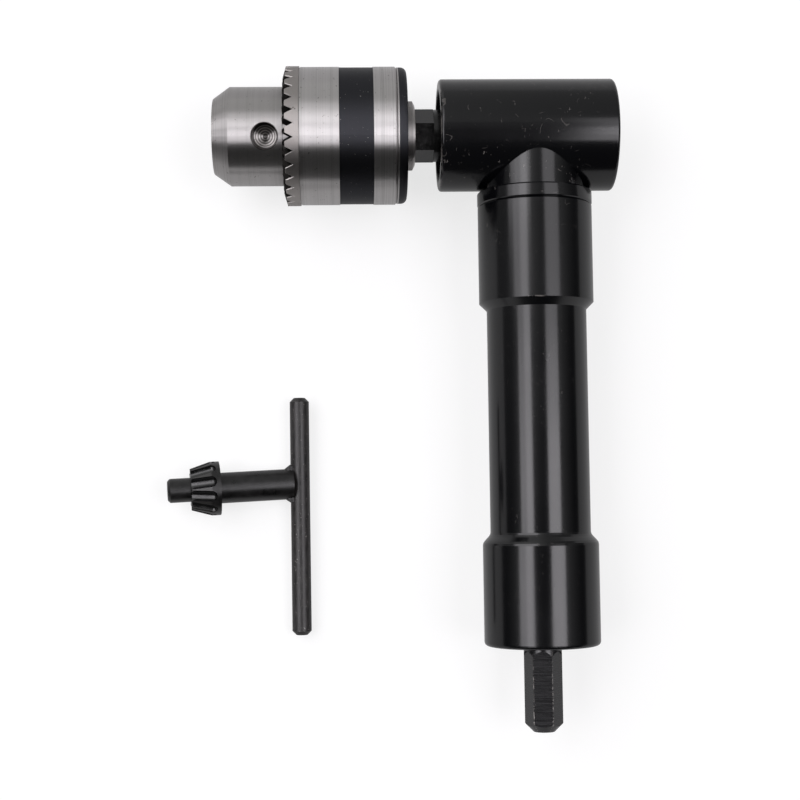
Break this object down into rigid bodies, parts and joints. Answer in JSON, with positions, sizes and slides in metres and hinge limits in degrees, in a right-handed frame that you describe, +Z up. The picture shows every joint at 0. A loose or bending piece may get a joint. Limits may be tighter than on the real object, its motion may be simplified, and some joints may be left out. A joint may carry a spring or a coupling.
{
  "type": "right angle drill attachment",
  "caption": "Right angle drill attachment: a hexagonal shank turns a keyed drill chuck through mitre gears in a black head, with its chuck key beside it.",
  "frame": {"origin": "centre of the input shank's free end", "axes": "+Y runs up the input shaft to the head, the chuck points to -X and +Z is up, away from the bench"},
  "size_m": [0.1107, 0.1619, 0.0338],
  "materials": {
    "blackened_casing": "satin black with fine handling scratches",
    "black_oxide_steel": "black oxide, worn bright along the edges",
    "turned_steel": "turned and ground, fine rings round the axis",
    "gear_steel": "hobbed steel, oiled",
    "bearing_steel": "ground and polished",
    "cage_brass": "pressed brass",
    "seal_rubber": "moulded rubber on a steel disc"
  },
  "bodies": {
    "housing": {"head_housing": "blackened_casing", "grip_tube": "blackened_casing", "front_circlip": "black_oxide_steel", "neck_circlip": "black_oxide_steel", "tail_circlip": "black_oxide_steel", "front_outer_race": "bearing_steel", "rear_outer_race": "bearing_steel", "neck_outer_race": "bearing_steel", "tail_outer_race": "bearing_steel", "front_seal": "seal_rubber", "tail_seal": "seal_rubber"},
    "output": {"output_spindle": "black_oxide_steel", "spindle_spacer": "gear_steel", "output_gear": "gear_steel", "output_gear_pin": "bearing_steel", "front_inner_race": "bearing_steel", "rear_inner_race": "bearing_steel", "chuck_body": "turned_steel"},
    "sleeve": {"chuck_sleeve": "turned_steel", "nut_half_upper": "gear_steel", "nut_half_lower": "gear_steel"},
    "jaw_1": {"jaw_1": "gear_steel"},
    "jaw_2": {"jaw_2": "gear_steel"},
    "jaw_3": {"jaw_3": "gear_steel"},
    "input": {"input_shaft": "black_oxide_steel", "shaft_circlip": "black_oxide_steel", "input_pinion": "gear_steel", "input_pinion_pin": "bearing_steel", "neck_inner_race": "bearing_steel", "tail_inner_race": "bearing_steel"},
    "front_ball_set": {"front_balls": "bearing_steel", "front_cage": "cage_brass"},
    "rear_ball_set": {"rear_balls": "bearing_steel", "rear_cage": "cage_brass"},
    "neck_ball_set": {"neck_balls": "bearing_steel", "neck_cage": "cage_brass"},
    "tail_ball_set": {"tail_balls": "bearing_steel", "tail_cage": "cage_brass"},
    "key": {"key_shaft": "black_oxide_steel", "key_bar": "black_oxide_steel"}
  },
  "joints": [
    {"name": "output_spin", "type": "hinge", "parent": "housing", "child": "output", "pos_m": [0, 0.145, 0], "axis": [1, 0, 0], "continuous": true},
    {"name": "input_spin", "type": "hinge", "parent": "housing", "child": "input", "pos_m": [0, 0.145, 0], "axis": [0, 1, 0], "continuous": true},
    {"name": "front_cage_spin", "type": "hinge", "parent": "housing", "child": "front_ball_set", "pos_m": [0, 0.145, 0], "axis": [1, 0, 0], "continuous": true},
    {"name": "rear_cage_spin", "type": "hinge", "parent": "housing", "child": "rear_ball_set", "pos_m": [0, 0.145, 0], "axis": [1, 0, 0], "continuous": true},
    {"name": "neck_cage_spin", "type": "hinge", "parent": "housing", "child": "neck_ball_set", "pos_m": [0, 0.145, 0], "axis": [0, 1, 0], "continuous": true},
    {"name": "tail_cage_spin", "type": "hinge", "parent": "housing", "child": "tail_ball_set", "pos_m": [0, 0.145, 0], "axis": [0, 1, 0], "continuous": true},
    {"name": "sleeve_turn", "type": "hinge", "parent": "output", "child": "sleeve", "pos_m": [0, 0.145, 0], "axis": [1, 0, 0], "range_deg": [-1738, 1217]},
    {"name": "jaw_1_slide", "type": "slide", "parent": "output", "child": "jaw_1", "axis": [-0.9659, -0.1911, -0.1745], "range_m": [-0.00966, 0.00677]},
    {"name": "jaw_2_slide", "type": "slide", "parent": "output", "child": "jaw_2", "axis": [-0.9659, -0.0556, 0.2528], "range_m": [-0.00966, 0.00677]},
    {"name": "jaw_3_slide", "type": "slide", "parent": "output", "child": "jaw_3", "axis": [-0.9659, 0.2467, -0.0783], "range_m": [-0.00966, 0.00677]},
    {"name": "key_lift", "type": "slide", "parent": "housing", "child": "key", "axis": [0, 0, 1], "range_m": [0, 0.1]}
  ],
  "couplings": [
    {"joint": "input_spin", "follows": "output_spin", "ratio": -1},
    {"joint": "front_cage_spin", "follows": "output_spin", "ratio": 0.395},
    {"joint": "rear_cage_spin", "follows": "output_spin", "ratio": 0.4067},
    {"joint": "neck_cage_spin", "follows": "output_spin", "ratio": -0.3859},
    {"joint": "tail_cage_spin", "follows": "output_spin", "ratio": -0.3693},
    {"joint": "jaw_1_slide", "follows": "sleeve_turn", "m_per_rad": 0.00031831},
    {"joint": "jaw_2_slide", "follows": "sleeve_turn", "m_per_rad": 0.00031831},
    {"joint": "jaw_3_slide", "follows": "sleeve_turn", "m_per_rad": 0.00031831}
  ]
}
